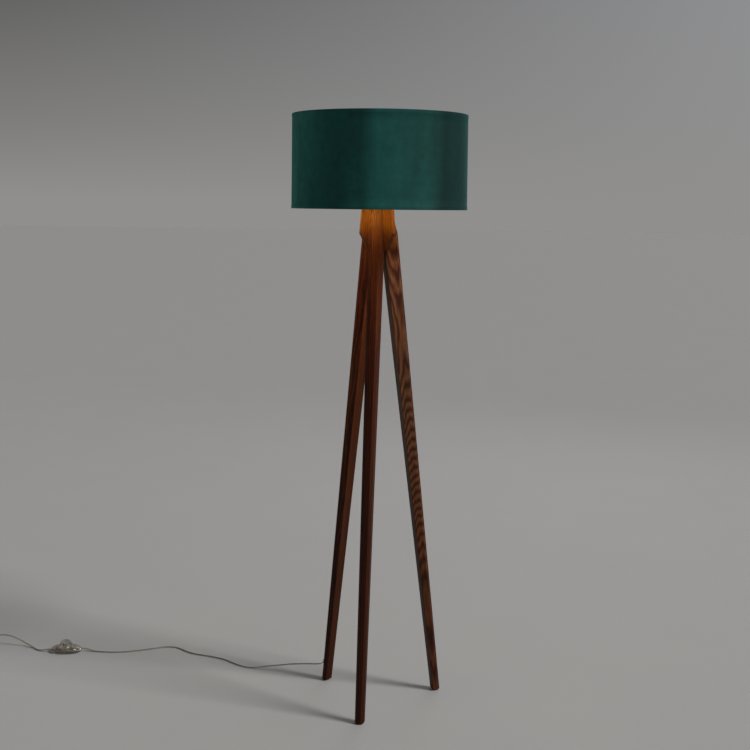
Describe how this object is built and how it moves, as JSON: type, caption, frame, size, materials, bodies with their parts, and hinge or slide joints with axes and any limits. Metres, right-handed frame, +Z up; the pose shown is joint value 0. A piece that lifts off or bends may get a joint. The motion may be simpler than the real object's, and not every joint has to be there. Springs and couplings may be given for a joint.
{
  "type": "tripod floor lamp",
  "caption": "Floor lamp on tapered wooden tripod legs with a faceted wooden hub, a velvet drum shade and a clear flex with an in-line foot switch and plug.",
  "frame": {"origin": "on the floor under the shade's vertical axis", "axes": "+Z up along the shade's axis; -Y towards the side the front leg points to; +X to the right seen from the front"},
  "size_m": [1.4983, 0.634, 1.519],
  "materials": {
    "wood": "oil-stained open-grained hardwood, satin",
    "velvet": "short-pile velvet with a sheen",
    "liner": "smooth translucent lining film",
    "white_wire": "powder-coated steel wire",
    "black_plastic": "moulded thermoplastic",
    "pale_plastic": "moulded insulating plastic",
    "steel": "zinc-plated",
    "brass": "plain turned and pressed brass",
    "bulb_cap": "rolled aluminium screw cap",
    "bulb_glass": "frosted, warm light",
    "glide_felt": "pressed felt pad on a nail",
    "clear_plastic": "clear flexible PVC and clear moulded plastic"
  },
  "bodies": {
    "stand": {"cord_1": "clear_plastic", "cord_2": "clear_plastic", "cord_3": "clear_plastic", "cord_coil": "clear_plastic", "glide_front": "glide_felt", "glide_left": "glide_felt", "glide_right": "glide_felt", "holder_body": "black_plastic", "holder_cap": "black_plastic", "holder_contact": "brass", "holder_insert": "pale_plastic", "holder_screw_shell": "brass", "hub": "wood", "hub_nut_lower": "steel", "hub_nut_upper": "steel", "hub_washer_lower": "steel", "hub_washer_upper": "steel", "internal_lead": "clear_plastic", "leg_front": "wood", "leg_left": "wood", "leg_right": "wood", "leg_screw_front": "steel", "leg_screw_left": "steel", "leg_screw_right": "steel", "plug_body": "clear_plastic", "plug_pin_a": "brass", "plug_pin_b": "brass", "plug_strain_relief": "clear_plastic", "switch_base": "clear_plastic", "switch_contact_block": "pale_plastic", "switch_cover": "clear_plastic", "switch_screw_a": "steel", "switch_screw_b": "steel", "switch_spring": "steel", "switch_terminal_in": "brass", "switch_terminal_out": "brass", "threaded_tube": "steel"},
    "shade": {"shade_cover": "velvet", "shade_liner": "liner", "shade_ring_top": "white_wire", "shade_spider": "white_wire"},
    "clamp_ring": {"shade_clamp_ring": "black_plastic"},
    "bulb": {"bulb_cap": "bulb_cap", "bulb_glass": "bulb_glass"},
    "button": {"switch_button": "clear_plastic"}
  },
  "joints": [
    {"name": "shade_turn", "type": "hinge", "parent": "stand", "child": "shade", "pos_m": [0, 0, 1.3333], "axis": [0, 0, 1], "continuous": true},
    {"name": "clamp_ring_turn", "type": "hinge", "parent": "stand", "child": "clamp_ring", "pos_m": [0, 0, 1.34], "axis": [0, 0, 1], "range_deg": [0, 900]},
    {"name": "bulb_turn", "type": "hinge", "parent": "stand", "child": "bulb", "pos_m": [0, 0, 1.34], "axis": [0, 0, 1], "range_deg": [0, 1080]},
    {"name": "button_press", "type": "slide", "parent": "stand", "child": "button", "axis": [0, 0, -1], "range_m": [0, 0.003], "stiffness_N_per_m": 800, "deforming": ["switch_spring"]}
  ]
}
